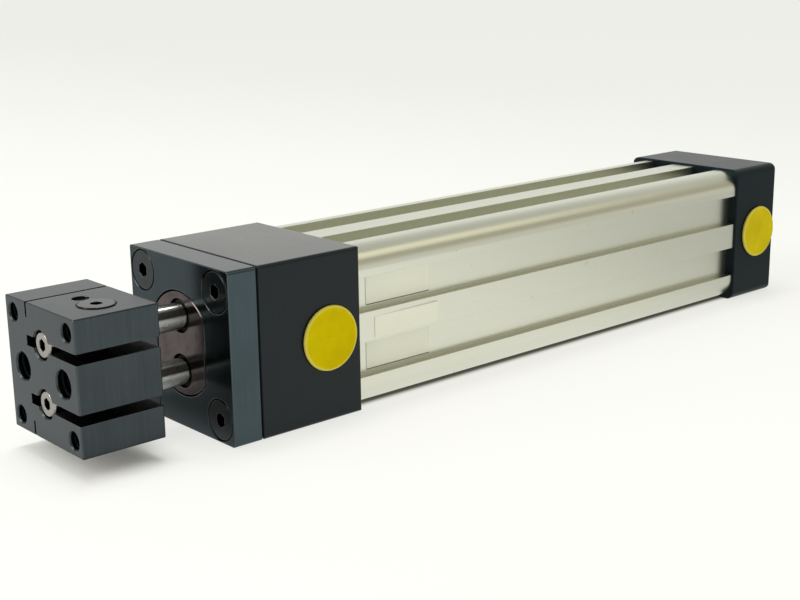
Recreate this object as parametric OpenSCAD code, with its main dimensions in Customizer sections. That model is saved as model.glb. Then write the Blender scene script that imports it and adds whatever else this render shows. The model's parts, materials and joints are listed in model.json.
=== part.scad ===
// Twin-rod, non-rotating air cylinder: a square profile barrel between two solid
// heads, two piston rods in one gland, and a split tooling block clamped on them.
// Millimetres. X runs along the stroke, +X towards the tooling block; the ports
// face +Y and Z is up. The origin is the centre of the front plate's outer face,
// on the cylinder's axis. The rods are drawn fully retracted.

/* [Stroke and bore] */
// Travel of the rods
stroke = 152.4; // [25:0.1:300]
// Bore of the barrel
bore_d = 38.1; // [36:0.1:40]

/* [Heads] */
// Width and height of the square heads
head_w = 50.8; // [49:0.1:70]
// Thickness of the front plate
plate_t = 9.5; // [8:0.1:14]
// Length of the front head behind the plate
head_l = 36.9; // [34:0.1:60]
// Length of the rear cap
cap_l = 24.6; // [23:0.1:40]
// Radius of the plate's and front head's long edges
head_edge_r = 1.0; // [0.6:0.1:3]
// Radius of the rear cap's long edges
cap_edge_r = 3.0; // [1:0.1:4]
// Chamfer on the machined end edges
edge_chamfer = 0.3; // [0.1:0.05:0.5]
// Chamfer on the front plate's end edges
plate_chamfer = 0.2; // [0.1:0.05:0.4]
// Length of the relief round the front head's end, behind the plate
relief_l = 0.7; // [0.3:0.1:1.2]
// Depth of that relief
relief_depth = 1.0; // [0.4:0.1:1.4]
// Length of the spigots that enter the barrel
spigot_l = 5.5; // [5:0.1:9]
// Depth of the rear cap's air chamber behind the spigot's face
cap_chamber_l = 24.0; // [20:0.1:27]
// Radius of the rear cap's air chamber
cap_chamber_r = 8.0; // [5:0.1:9]

/* [Barrel profile] */
// How far the barrel's faces lie inside the heads' faces
barrel_step = 0.8; // [0.2:0.1:2]
// Radius of the barrel's corner lobes
lobe_r = 7.0; // [4:0.1:9]
// Width of the rib along the middle of each face
rib_w = 9.3; // [6:0.1:14]
// Half-distance between the lobes' inner edges
lobe_edge = 15.45; // [12:0.05:17]
// Depth of the grooves beside each rib
groove_depth = 3.0; // [1:0.1:3.2]

/* [Rods and gland] */
// Diameter of each rod
rod_d = 7.94; // [6:0.01:9.6]
// Distance between the rods' axes
rod_pitch = 16.6; // [13.8:0.1:17]
// Chamfer on the rods' front ends
rod_chamfer = 0.6; // [0.2:0.1:1]
// Wall of the gland outside the wiper seats
gland_wall = 1.9; // [1.2:0.1:3]
// Half-distance between the two flats of the gland's nose
gland_flat = 12.1; // [8:0.1:15]
// Gap all round the gland's nose in the plate
gland_gap = 0.45; // [0.1:0.05:0.6]
// Chamfer on the edge of the gland's nose
gland_chamfer = 0.25; // [0.1:0.05:0.5]
// Width of the gland's flange past its nose
flange_step = 2.1; // [1:0.1:3]
// Thickness of the gland's flange
flange_t = 5.0; // [3:0.1:8]
// Length of the gland over all
gland_l = 25.4; // [22:0.1:30]
// Width of the wipers' seats round the rods
wiper_w = 1.23; // [1:0.01:1.6]
// Depth of the wipers' seats
wiper_seat_l = 3.6; // [3:0.1:4.4]
// How far the wipers lie behind the gland's face
wiper_recess = 0.9; // [0.4:0.1:1.4]
// Length of the rod bushings
bushing_l = 12.7; // [10:0.1:13]
// Wall of the rod bushings
bushing_wall = 0.8; // [0.5:0.05:1.1]

/* [Piston] */
// Length of the piston
piston_l = 20.3; // [18:0.1:32]
// Diameter of the rods' threaded tails
tail_d = 6.0; // [4:0.1:6.4]
// Size of the rod nuts across their flats
nut_af = 10.0; // [8:0.1:10.5]
// Thickness of the rod nuts
nut_t = 5.5; // [4:0.1:6]
// Depth of the nuts' pockets in the piston
nut_pocket_l = 7.0; // [6.8:0.1:9]
// Width of the piston's seal grooves
seal_groove_w = 3.6; // [3:0.1:4]
// Depth of the piston's seal grooves
seal_groove_depth = 2.7; // [2:0.1:3]
// Width of the piston's wear band
band_w = 5.5; // [3:0.1:6]
// Thickness of the piston's wear band
band_t = 1.5; // [1:0.1:2]
// How far the bumpers stand proud of the spigots
bumper_proud = 2.0; // [1:0.1:3]
// Depth of the bumpers' seats in the spigots
bumper_seat = 1.4; // [1:0.1:2]
// Radius of the bumpers
bumper_r = 15.5; // [13:0.1:16]

/* [Tooling block] */
// Length of the block along the rods
block_l = 25.4; // [20:0.1:40]
// Radius of the block's long edges
block_edge_r = 0.4; // [0.2:0.1:1]
// Width and height of the block
block_w = 38.1; // [36:0.1:50]
// Gap between the plate and the block with the rods in
block_gap = 18.0; // [6:0.1:40]
// How far the rods' ends lie behind the block's face
rod_end_recess = 0.5; // [0:0.1:2]
// Height of the clamping slots and of the keyways
slot_h = 3.1; // [2:0.1:4]
// Distance of the keyways' bottoms from the rods' axes
keyway_y = 8.0; // [6:0.1:9]
// Distance of the relief slits from the rods' axes
slit_y = 7.3; // [6:0.1:8.5]
// Width of the relief slits
slit_w = 1.1; // [0.5:0.1:1.5]
// Depth of the relief slits
slit_depth = 4.3; // [2:0.1:5]
// Side of the square of tapped holes in the block's face
tool_pitch = 29.6; // [27:0.1:40]
// Diameter of those holes' walls
tool_hole_d = 5.1; // [4:0.1:5.4]
// Depth of those holes
tool_hole_l = 16.0; // [10:0.1:18]
// Distance between the two holes in the middle web
web_pitch = 22.6; // [18:0.1:24]
// Diameter of the web holes' walls
web_hole_d = 7.94; // [5:0.01:8]
// Depth of the web holes
web_hole_l = 9.0; // [6:0.1:9]
// Chamfer at the mouths of the rods' bores and of the tapped holes
mouth_chamfer = 0.4; // [0.1:0.05:0.6]
// Distance of the clamp screws from the rods' axes
clamp_y = 8.7; // [8:0.1:9]
// Length of thread that the clamp screws hold by
clamp_engage = 3.5; // [2:0.1:4]
// Length of the rod set screws
set_screw_l = 5.0; // [3:0.1:5.6]

/* [Ports and plugs] */
// Diameter of the ports' threaded walls
port_d = 14.7; // [11:0.1:14.8]
// Length of the ports' threaded walls
port_l = 10.0; // [7:0.1:10.2]
// Diameter of the ports' relieved mouths
mouth_d = 17.4; // [17:0.1:18]
// Depth of the ports' relieved mouths
mouth_l = 3.2; // [2.5:0.1:3.4]
// Distance of the front port from the head's rear face
front_port_inset = 11.7; // [10.5:0.1:12.5]
// Distance of the rear port from the cap's front face
rear_port_inset = 14.0; // [11:0.1:14]
// Diameter of the passages from the ports to the chambers
passage_d = 8.0; // [4:0.1:9]
// Diameter of the plugs' flanges
plug_flange_d = 19.6; // [18.4:0.1:21]
// Thickness of the plugs' flanges
plug_flange_t = 1.1; // [0.8:0.1:2]
// Depth of the dish in the plugs' faces
plug_dish = 0.25; // [0.1:0.05:0.4]

/* [Fasteners] */
// Distance of the four long screws from the heads' faces
screw_inset = 6.75; // [6.7:0.05:7.5]
// Diameter of the long screws
screw_d = 6.2; // [5:0.1:6.4]
// Diameter of the long screws' tapped ends
screw_root_d = 5.0; // [4:0.1:5]
// Length of thread that holds the long screws in the barrel
screw_engage = 11.0; // [6:0.1:14]
// Diameter of the plate screws' flat heads
flat_head_d = 11.8; // [10:0.1:11.9]
// How far the plate screws' heads lie below the plate's face
flat_head_sink = 0.1; // [0.05:0.05:0.4]
// Gap all round the rims of the flat heads
rim_gap = 0.4; // [0.2:0.05:0.4]
// Size of the plate screws' sockets across the flats
flat_head_af = 4.0; // [3:0.1:5]
// Diameter of the rear screws' round heads
cap_head_d = 9.5; // [8:0.1:10]
// Height of the rear screws' heads
cap_head_h = 6.35; // [5:0.05:8]
// Depth of the rear screws' counterbores
counterbore_l = 4.8; // [3:0.1:7]
// Size of the rear screws' sockets across the flats
cap_head_af = 4.8; // [3:0.1:5.5]
// Diameter of the clamp screws' flat heads
clamp_head_d = 10.1; // [8:0.1:10.4]
// Diameter of the clamp screws and the set screws
clamp_d = 4.8; // [3.5:0.1:5]
// Diameter of the clamp screws' tapped ends
clamp_root_d = 4.0; // [3:0.1:4.4]
// How far the clamp screws' heads stand out of the block's faces
clamp_proud = 0.3; // [0:0.05:0.4]
// Size of the clamp screws' and the rods' sockets across the flats
clamp_af = 3.2; // [2:0.1:3.4]
// Size of the set screws' sockets across the flats
set_af = 2.4; // [1.5:0.1:2.5]
// Distance between the two foot holes under each head
foot_pitch = 15.9; // [12:0.1:20]
// Diameter of the foot holes' walls
foot_hole_d = 5.1; // [4:0.1:5.4]
// Depth of the foot holes
foot_hole_l = 9.5; // [6:0.1:9.6]

/* [Fits] */
// Radial clearance of the bushings, seals and wipers on the rods
rod_fit = 0.05; // [0.02:0.01:0.1]
// Radial clearance of the piston's seals and band in the barrel
seal_fit = 0.05; // [0.02:0.01:0.1]
// Radial clearance of the piston's body in the barrel
piston_fit = 0.3; // [0.2:0.05:0.4]
// Radial clearance between parts that are bolted or pressed together
seat_fit = 0.05; // [0.02:0.01:0.1]
// Radial clearance of the rods in the tooling block before it is clamped
block_fit = 0.13; // [0.05:0.01:0.2]
// Radial clearance of a screw in a plain hole
hole_fit = 0.25; // [0.1:0.05:0.4]
// Radial clearance of a flat head in its countersink
head_fit = 0.1; // [0.05:0.05:0.2]
// Gap between the piston and a bumper at each end of the stroke
end_gap = 0.1; // [0.05:0.05:0.3]

/* [Hidden] */
$fn = 64;

// Finishes
black_anodised = [0.16, 0.17, 0.19];
black_oxide = [0.25, 0.27, 0.27];
clear_anodised = [0.82, 0.80, 0.76];
bronze = [0.52, 0.42, 0.33];
chrome = [0.80, 0.81, 0.82];
blackened = [0.10, 0.10, 0.11];
seal_black = [0.06, 0.06, 0.06];
plug_yellow = [0.80, 0.70, 0.03];

// Stations along X
barrel_l = stroke + piston_l + 2 * (spigot_l + bumper_proud + end_gap);
x_head = -plate_t;
x_barrel = x_head - head_l;
x_cap = x_barrel - barrel_l;
x_end = x_cap - cap_l;
x_piston = x_cap + spigot_l + bumper_proud + end_gap;
x_shoulder = x_piston + piston_l;
x_block = block_gap;
x_face = x_block + block_l;
x_rod_end = x_face - rod_end_recess;
x_front_port = x_barrel + front_port_inset;
x_rear_port = x_cap - rear_port_inset;

// Radii and half-widths
half_head = head_w / 2;
barrel_w = head_w - 2 * barrel_step;
bore_r = bore_d / 2;
rod_r = rod_d / 2;
rod_z = rod_pitch / 2;
screw_pos = half_head - screw_inset;
wiper_seat_r = rod_r + wiper_w;
gland_r = rod_z + wiper_seat_r + gland_wall;
flange_r = gland_r + flange_step;
pilot_step = 0.2;
pilot_r = gland_r + pilot_step;
bushing_r = rod_r + rod_fit + bushing_wall;
spigot_r = bore_r - seat_fit;
piston_r = bore_r - piston_fit;
tail_r = tail_d / 2;
nut_r = nut_af / 2 / cos(30);
pocket_r = nut_r + 0.5;

// Grooves for the round-section rings, and the play round a ring in its groove
o_groove_w = 2.4;
o_groove_depth = 1.9;
o_ring_play = 0.03;
x_gland_ring = (x_head - flange_t - gland_l) / 2;
barrel_ring_inset = 2.2;
// The gland's own bore round each rod, and the groove in it for the rod seal
gland_bore_r = rod_r + 0.35;
rod_seal_wall = 1.6;
rod_seal_x = -wiper_seat_l - rod_seal_wall;
rod_seal_w = 3.2;
rod_seal_r = rod_r + 1.7;
// Each lip of a cup seal, as a share of the seal's width
seal_lip = 0.28;
// Play of the seals, bushings and band along their seats, at each end
end_play = 0.1;
// Lip of the wipers, and the step at their outer edge
wiper_lip = 0.3;
wiper_step = 0.5;
// Air chamber round the rods behind the gland
chamber_r = rod_r + 1.5;
// Half-angle of the countersunk heads, and the land at their rims with its chamfer
sink_angle = 41;
sink_land = 0.5;
rim_chamfer = 0.15;
// How far the straight wall of a countersink's mouth runs below the head's land
sink_wall = 0.3;
// Chamfers on the rear screws' heads, on the screws' and the bushings' ends, and at the
// bore and the spigots that enter it
head_chamfer = 0.5;
end_chamfer = 0.4;
bore_chamfer = 0.4;
spigot_chamfer = 0.5;
// Chamfer on the nuts' corners, and how far the turned outline that cuts it passes outside them
nut_chamfer = 1.0;
nut_past = 0.4;
// Chamfer at the points of the set screws
set_point = 0.8;
// Depths of the hexagonal sockets
socket_l = 3.0;
clamp_socket_l = 2.45;
set_socket_l = 2.2;
// Plain stretches of the piston between its grooves, its end chamfers, and the band's split
piston_land = (piston_l - 2 * seal_groove_w - band_w) / 5;
piston_chamfer = 0.8;
band_split = 1.5;
// How far the rods' tails stand out of their nuts
tail_out = 0.8;
// Middle of the block along the rods, and height of its middle web above the axis
x_clamp = (x_block + x_face) / 2;
web_z = rod_z - slot_h / 2;
// Length of a drilled hole's point, in diameters
drill_point = 0.3;
// The plugs' skirts: clearance in the mouth, wall, and how far they stop short of the port's wall
skirt_fit = 0.15;
skirt_wall = 1.45;
skirt_gap = 0.4;
// Cuts run past the faces that they open by this much
past = 1;

// A cylinder along X from x0 to x1
module x_cyl(x0, x1, r, y = 0, z = 0)
    translate([x0, y, z]) rotate([0, 90, 0]) cylinder(r = r, h = x1 - x0);

// An outline in Y and Z, extruded along X from x0 to x1
module along_x(x0, x1)
    translate([x0, 0, 0]) rotate([90, 0, 90]) linear_extrude(x1 - x0) children();

// A half-outline of radius and X, turned about an axis along X
module turned(x, z = 0)
    translate([x, 0, z]) rotate([0, 90, 0]) rotate_extrude() children();

// Children at the four long screws
module at_screws()
    for (y = [-1, 1], z = [-1, 1]) translate([0, y * screw_pos, z * screw_pos]) children();

// Children at both rods
module at_rods()
    for (z = [-1, 1]) translate([0, 0, z * rod_z]) children();

// Children above and, mirrored, below the axis
module above_and_below()
    for (side = [0, 1]) mirror([0, 0, side]) children();

module rounded_square(w, r) {
    square([w, w - 2 * r], center = true);
    square([w - 2 * r, w], center = true);
    for (y = [-1, 1], z = [-1, 1]) translate([y, z] * (w / 2 - r)) circle(r);
}

// Rectangle from X = 0 to l with chamfers c0 and c1 at those ends
module chamfered_rectangle(l, w, c0, c1)
    polygon([
        [c0, -w / 2], [l - c1, -w / 2], [l, c1 - w / 2], [l, w / 2 - c1],
        [l - c1, w / 2], [c0, w / 2], [0, w / 2 - c0], [0, c0 - w / 2]
    ]);

// Square block from x0 to x1: long edges rounded, end edges chamfered
module machined_block(x0, x1, w, edge_r, c0 = edge_chamfer, c1 = edge_chamfer)
    intersection() {
        along_x(x0, x1) rounded_square(w, edge_r);
        translate([x0, 0, -w / 2]) linear_extrude(w) chamfered_rectangle(x1 - x0, w, c0, c1);
        translate([x0, w / 2, 0]) rotate([90, 0, 0]) linear_extrude(w)
            chamfered_rectangle(x1 - x0, w, c0, c1);
    }

// Half-outline of a shaft of radius r and length l with chamfers c0 and c1 at its ends
module shaft_outline(r, l, c0, c1)
    polygon([[0, 0], [r - c0, 0], [r, c0], [r, l - c1], [r - c1, l], [0, l]]);

// A cylinder along X from x0 to x1 with chamfered ends
module x_shaft(x0, x1, r, c0, c1) turned(x0) shaft_outline(r, x1 - x0, c0, c1);

// Cut that chamfers the mouth of a bore of radius r, which opens at x towards side
module mouth_cut(x, r, c, side = 1)
    turned(x) polygon([[0, side * past], [r + c, side * past], [r + c, 0], [r, -side * c], [0, -side * c]]);

// The gland's nose: a disc with two flats
module double_d(grow)
    intersection() {
        circle(gland_r + grow);
        square([2 * (gland_flat + grow), 3 * gland_r], center = true);
    }

// Two round ends round the rods, joined by straight sides
module rod_slot(r) {
    square([2 * r, rod_pitch], center = true);
    for (z = [-1, 1]) translate([0, z * rod_z]) circle(r);
}

// Half-outline of a drilled hole from height 0 down to l, with a chamfered mouth and a drill point
module hole_outline(r, l)
    polygon([
        [0, past], [r + mouth_chamfer, past], [r + mouth_chamfer, 0], [r, -mouth_chamfer],
        [r, -l], [0, -l - drill_point * 2 * r]
    ]);

// Groove for a round-section ring in a shaft of radius r, centred at x
module o_groove(x, r)
    turned(x) translate([r - o_groove_depth, -o_groove_w / 2])
        square([o_groove_depth + past, o_groove_w]);

// The ring in that groove, between its floor and the bore round the shaft
module o_ring(x, r)
    turned(x) let (space = o_groove_depth + seat_fit)
        translate([r - o_groove_depth + space / 2, 0]) circle(space / 2 - o_ring_play);

// Cup seal from radius r0 to r1, its open side towards -X
module cup_seal(x, r0, r1, w, z = 0)
    turned(x, z) let (lip = seal_lip * (r1 - r0))
        polygon([
            [r0, 0], [r0 + lip, 0], [(r0 + r1) / 2, w / 2], [r1 - lip, 0],
            [r1, 0], [r1, w], [r0, w]
        ]);

// Hexagonal socket that opens towards +X at x
module socket(x, af)
    translate([x - socket_l, 0, 0]) rotate([0, 90, 0])
        cylinder(r = af / 2 / cos(30), h = socket_l + past, $fn = 6);

// Port in the +Y face of a head at x, with its passage down to the chamber
module port_cut(x) translate([x, half_head, 0]) rotate([90, 0, 0]) {
    mouth_r = mouth_d / 2;
    port_end = mouth_l + port_l;
    rotate_extrude() polygon([
        [0, -past], [mouth_r + mouth_chamfer, -past], [mouth_r + mouth_chamfer, 0],
        [mouth_r, mouth_chamfer], [mouth_r, mouth_l], [port_d / 2, mouth_l], [port_d / 2, port_end],
        [0, port_end + drill_point * port_d]
    ]);
    cylinder(d = passage_d, h = half_head);
}

// Pair of foot holes in the lower face at x
module foot_cut(x)
    for (y = [-1, 1]) translate([x, y * foot_pitch / 2, -half_head]) mirror([0, 0, 1])
        rotate_extrude() hole_outline(foot_hole_d / 2, foot_hole_l);

// Half-outline of a flat head below its top
module flat_head(d_head, d_shank) {
    foot = -sink_land - (d_head - d_shank) / 2 / tan(sink_angle);
    polygon([
        [0, 0], [d_head / 2 - rim_chamfer, 0], [d_head / 2, -rim_chamfer], [d_head / 2, -sink_land],
        [d_shank / 2, foot], [0, foot]
    ]);
}

// Half-outline of the countersink, from the face that the head's top lies below by sink: a
// straight-walled mouth with a chamfered edge, then the cone
module countersink(d_head, d_shank, sink) {
    r_wall = d_head / 2 + rim_gap;
    wall = -sink - sink_land - sink_wall;
    r_cone = d_head / 2 + head_fit - sink_wall * tan(sink_angle);
    r_foot = d_shank / 2 + head_fit;
    foot = wall - (r_cone - r_foot) / tan(sink_angle);
    polygon([
        [0, past], [r_wall + rim_chamfer, past], [r_wall + rim_chamfer, 0], [r_wall, -rim_chamfer],
        [r_wall, wall], [r_cone, wall], [r_foot, foot], [0, foot]
    ]);
}

module front_plate() color(black_oxide) difference() {
    machined_block(x_head, 0, head_w, head_edge_r, plate_chamfer, plate_chamfer);
    along_x(x_head - past, past) double_d(gland_gap);
    at_screws() {
        x_cyl(x_head - past, past, screw_d / 2 + hole_fit);
        turned(0) countersink(flat_head_d, screw_d, flat_head_sink);
    }
}

module front_head() color(black_anodised) difference() {
    union() {
        machined_block(x_barrel, x_head - relief_l, head_w, head_edge_r);
        along_x(x_barrel + past, x_head) rounded_square(head_w - 2 * relief_depth, head_edge_r);
        x_shaft(x_barrel - spigot_l, x_barrel + past, spigot_r, spigot_chamfer, 0);
    }
    x_cyl(x_head - flange_t, x_head + past, flange_r + seat_fit);
    x_cyl(-gland_l - end_play, x_head + past, pilot_r + seat_fit);
    along_x(x_barrel - spigot_l - past, x_head) rod_slot(chamber_r);
    x_cyl(x_barrel - spigot_l - past, x_barrel - spigot_l + bumper_seat, bumper_r + seat_fit);
    o_groove(x_barrel - barrel_ring_inset, spigot_r);
    at_screws() x_cyl(x_barrel - past, x_head + past, screw_d / 2 + hole_fit);
    port_cut(x_front_port);
    foot_cut((x_head + x_barrel) / 2);
}

// The gland's nose, with a chamfer round its outer edge
module gland_nose() intersection() {
    along_x(x_head, 0) double_d(0);
    x_shaft(x_head, 0, gland_r, 0, gland_chamfer);
    translate([x_head, 0, -gland_r]) linear_extrude(2 * gland_r)
        chamfered_rectangle(plate_t, 2 * gland_flat, 0, gland_chamfer);
}

module rod_gland() color(bronze) difference() {
    union() {
        gland_nose();
        x_cyl(x_head - flange_t, x_head, flange_r);
        x_shaft(-gland_l, x_head, pilot_r, end_chamfer, 0);
    }
    o_groove(x_gland_ring, pilot_r);
    at_rods() {
        x_cyl(-gland_l - past, past, gland_bore_r);
        x_cyl(-wiper_seat_l, past, wiper_seat_r);
        x_cyl(rod_seal_x - rod_seal_w, rod_seal_x, rod_seal_r);
        x_cyl(-gland_l - past, bushing_l - gland_l, bushing_r + seat_fit);
    }
}

module gland_o_ring() color(seal_black) o_ring(x_gland_ring, pilot_r);

// Ring with a thin lip on the rod and a stepped outer edge
module rod_wipers() color(seal_black) at_rods() turned(-wiper_seat_l) {
    r_in = rod_r + rod_fit;
    r_out = wiper_seat_r - seat_fit;
    l = wiper_seat_l - wiper_recess;
    polygon([
        [r_in + wiper_lip, 0], [r_out, 0], [r_out, l - wiper_step], [r_out - wiper_step, l - wiper_step],
        [r_in + wiper_lip, l], [r_in, l], [r_in, l - wiper_step]
    ]);
}

module rod_seals() color(seal_black) for (z = [-1, 1])
    cup_seal(
        rod_seal_x - rod_seal_w + end_play, rod_r + rod_fit, rod_seal_r - seat_fit,
        rod_seal_w - 2 * end_play, z * rod_z
    );

module rod_bushings() color(bronze) at_rods() difference() {
    x_shaft(-gland_l, bushing_l - gland_l - end_play, bushing_r, 0, end_chamfer);
    x_cyl(-gland_l - past, 0, rod_r + rod_fit);
}

module bumper(x0, x1) color(seal_black) difference() {
    x_cyl(x0, x1, bumper_r);
    children();
}

module front_bumper()
    bumper(x_barrel - spigot_l - bumper_proud, x_barrel - spigot_l + bumper_seat)
        along_x(x_barrel - spigot_l - bumper_proud - past, x_barrel) rod_slot(chamber_r);

module rear_bumper()
    bumper(x_cap + spigot_l - bumper_seat, x_cap + spigot_l + bumper_proud)
        x_cyl(x_cap, x_cap + spigot_l + bumper_proud + past, cap_chamber_r);

module front_barrel_o_ring() color(seal_black) o_ring(x_barrel - barrel_ring_inset, spigot_r);

module rear_barrel_o_ring() color(seal_black) o_ring(x_cap + barrel_ring_inset, spigot_r);

// Rounded square with two grooves beside a rib on each face
module barrel_outline() difference() {
    groove_w = lobe_edge - rib_w / 2;
    rounded_square(barrel_w, lobe_r);
    circle(bore_r);
    for (turn = [0 : 90 : 270]) rotate(turn) {
        for (side = [0, 1]) mirror([0, side]) translate([barrel_w / 2 - groove_depth, rib_w / 2])
            square([groove_depth + past, groove_w]);
        translate([screw_pos, screw_pos]) circle(screw_root_d / 2 + seat_fit);
    }
}

module barrel_tube() color(clear_anodised) difference() {
    along_x(x_cap, x_barrel) barrel_outline();
    mouth_cut(x_barrel, bore_r, bore_chamfer);
    mouth_cut(x_cap, bore_r, bore_chamfer, -1);
}

module rear_cap() color(black_anodised) difference() {
    union() {
        machined_block(x_end, x_cap, head_w, cap_edge_r);
        x_shaft(x_cap - past, x_cap + spigot_l, spigot_r, 0, spigot_chamfer);
    }
    x_cyl(x_cap + spigot_l - cap_chamber_l, x_cap + spigot_l + past, cap_chamber_r);
    x_cyl(x_cap + spigot_l - bumper_seat, x_cap + spigot_l + past, bumper_r + seat_fit);
    o_groove(x_cap + barrel_ring_inset, spigot_r);
    at_screws() {
        x_cyl(x_end - past, x_cap + past, screw_d / 2 + hole_fit);
        x_cyl(x_end - past, x_end + counterbore_l, cap_head_d / 2 + hole_fit);
    }
    port_cut(x_rear_port);
    foot_cut((x_cap + x_end) / 2);
}

// Long flat-headed screws through the plate and the front head into the barrel
module plate_screws() color(blackened) at_screws() difference() {
    union() {
        turned(-flat_head_sink) flat_head(flat_head_d, screw_d);
        x_cyl(x_barrel, -flat_head_sink - past, screw_d / 2);
        x_shaft(x_barrel - screw_engage, x_barrel + past, screw_root_d / 2, end_chamfer, 0);
    }
    socket(-flat_head_sink, flat_head_af);
}

// Round-headed screws through the rear cap into the barrel
module cap_screws() color(blackened) at_screws() difference() {
    x_seat = x_end + counterbore_l;
    union() {
        x_shaft(x_seat - cap_head_h, x_seat, cap_head_d / 2, head_chamfer, 0);
        x_cyl(x_seat - past, x_cap, screw_d / 2);
        x_shaft(x_cap - past, x_cap + screw_engage, screw_root_d / 2, 0, end_chamfer);
    }
    mirror([1, 0, 0]) socket(cap_head_h - x_seat, cap_head_af);
}

module piston() color(clear_anodised) difference() {
    x_shaft(x_piston, x_shoulder, piston_r, piston_chamfer, piston_chamfer);
    for (x = [x_piston + piston_land, x_shoulder - piston_land - seal_groove_w])
        turned(x) translate([piston_r - seal_groove_depth, 0])
            square([seal_groove_depth + past, seal_groove_w]);
    turned(x_piston + (piston_l - band_w) / 2)
        translate([piston_r - band_t, 0]) square([band_t + past, band_w]);
    at_rods() {
        x_cyl(x_piston - past, x_shoulder + past, tail_r + seat_fit);
        x_cyl(x_piston - past, x_piston + nut_pocket_l, pocket_r);
    }
}

// Two cup seals, each open towards the nearer end of the piston
module piston_seals() color(seal_black) for (side = [0, 1])
    translate([x_piston + piston_l / 2, 0, 0]) mirror([side, 0, 0])
        cup_seal(
            piston_land + end_play - piston_l / 2, piston_r - seal_groove_depth + seat_fit,
            bore_r - seal_fit, seal_groove_w - 2 * end_play
        );

module piston_wear_band() color(bronze) difference() {
    r_in = piston_r - band_t + seat_fit;
    turned(x_piston + (piston_l - band_w) / 2 + end_play)
        translate([r_in, 0]) square([bore_r - seal_fit - r_in, band_w - 2 * end_play]);
    translate([x_piston, -band_split / 2, 0]) cube([piston_l, band_split, bore_r]);
}

// Hexagonal nut whose corners are chamfered at both ends
module rod_nuts() color(blackened) at_rods() difference() {
    x_nut = x_piston + nut_pocket_l - nut_t;
    intersection() {
        translate([x_nut, 0, 0]) rotate([0, 90, 0]) cylinder(r = nut_r, h = nut_t, $fn = 6);
        x_shaft(x_nut, x_nut + nut_t, nut_r + nut_past, nut_chamfer, nut_chamfer);
    }
    x_cyl(x_piston, x_shoulder, tail_r + seat_fit);
}

// Rod with a chamfered, socketed front end and a tail that goes through the piston
module rod() color(chrome) difference() {
    union() {
        x_shaft(x_shoulder, x_rod_end, rod_r, 0, rod_chamfer);
        x_shaft(x_piston + nut_pocket_l - nut_t - tail_out, x_shoulder + past, tail_r, end_chamfer, 0);
    }
    socket(x_rod_end, clamp_af);
}

module upper_rod() translate([0, 0, rod_z]) rod();

module lower_rod() translate([0, 0, -rod_z]) rod();

// Block bored for both rods, slotted from +Y through each bore and on into a keyway, with
// a slit that lets each outer leg bend when its clamp screw is tightened
module tooling_block() color(black_oxide) difference() {
    machined_block(x_block, x_face, block_w, block_edge_r);
    at_rods() {
        x_cyl(x_block - past, x_face + past, rod_r + block_fit);
        mouth_cut(x_face, rod_r + block_fit, mouth_chamfer);
    }
    above_and_below() {
        translate([x_block - past, -keyway_y, web_z])
            cube([block_l + 2 * past, keyway_y + block_w, slot_h]);
        translate([x_block - past, -slit_y - slit_w / 2, block_w / 2 - slit_depth])
            cube([block_l + 2 * past, slit_w, slit_depth + past]);
        translate([x_clamp, 0, rod_z]) cylinder(r = clamp_d / 2 + seat_fit, h = block_w);
        translate([x_clamp, clamp_y, 0]) clamp_screw_cut();
    }
    for (y = [-1, 1], z = [-1, 1]) translate([x_face, y * tool_pitch / 2, z * tool_pitch / 2])
        rotate([0, 90, 0]) rotate_extrude() hole_outline(tool_hole_d / 2, tool_hole_l);
    for (y = [-1, 1]) translate([x_face, y * web_pitch / 2, 0])
        rotate([0, 90, 0]) rotate_extrude() hole_outline(web_hole_d / 2, web_hole_l);
}

module clamp_screw_cut() {
    translate([0, 0, block_w / 2]) rotate_extrude() countersink(clamp_head_d, clamp_d, -clamp_proud);
    translate([0, 0, rod_z]) cylinder(r = clamp_d / 2 + hole_fit, h = block_w);
    translate([0, 0, web_z - clamp_engage - seat_fit])
        cylinder(r = clamp_root_d / 2 + seat_fit, h = block_w);
}

module clamp_screws() color(blackened) above_and_below() translate([x_clamp, clamp_y, 0]) {
    rim_z = block_w / 2 + clamp_proud;
    difference() {
        union() {
            translate([0, 0, rim_z]) rotate_extrude() flat_head(clamp_head_d, clamp_d);
            translate([0, 0, web_z]) cylinder(r = clamp_d / 2, h = rim_z - web_z - past);
            translate([0, 0, web_z - clamp_engage]) cylinder(r = clamp_root_d / 2, h = clamp_engage + past);
        }
        translate([0, 0, rim_z - clamp_socket_l])
            cylinder(r = clamp_af / 2 / cos(30), h = clamp_socket_l + past, $fn = 6);
    }
}

module rod_set_screws() color(blackened) above_and_below()
    translate([x_clamp, 0, rod_z + rod_r + seat_fit]) difference() {
        rotate_extrude() shaft_outline(clamp_d / 2, set_screw_l, set_point, 0);
        translate([0, 0, set_screw_l - set_socket_l])
            cylinder(r = set_af / 2 / cos(30), h = set_socket_l + past, $fn = 6);
    }

// Push-in plug: a dished flange on the head's face and a short skirt in the port's mouth
module port_plug(x) color(plug_yellow) translate([x, half_head, 0]) rotate([-90, 0, 0]) {
    rim_r = plug_flange_t / 2;
    dish_r = plug_flange_d / 2 - rim_r;
    ball_r = (dish_r * dish_r + plug_dish * plug_dish) / (2 * plug_dish);
    difference() {
        rotate_extrude() {
            square([dish_r, plug_flange_t]);
            square([dish_r + rim_r / 2, rim_r]);
            translate([dish_r, rim_r]) circle(rim_r);
        }
        translate([0, 0, plug_flange_t - plug_dish + ball_r]) sphere(ball_r, $fn = 200);
    }
    difference() {
        skirt_r = mouth_d / 2 - skirt_fit;
        translate([0, 0, skirt_gap - mouth_l]) cylinder(r = skirt_r, h = mouth_l);
        translate([0, 0, -mouth_l]) cylinder(r = skirt_r - skirt_wall, h = mouth_l);
    }
}

module front_port_plug() port_plug(x_front_port);

module rear_port_plug() port_plug(x_rear_port);

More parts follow.
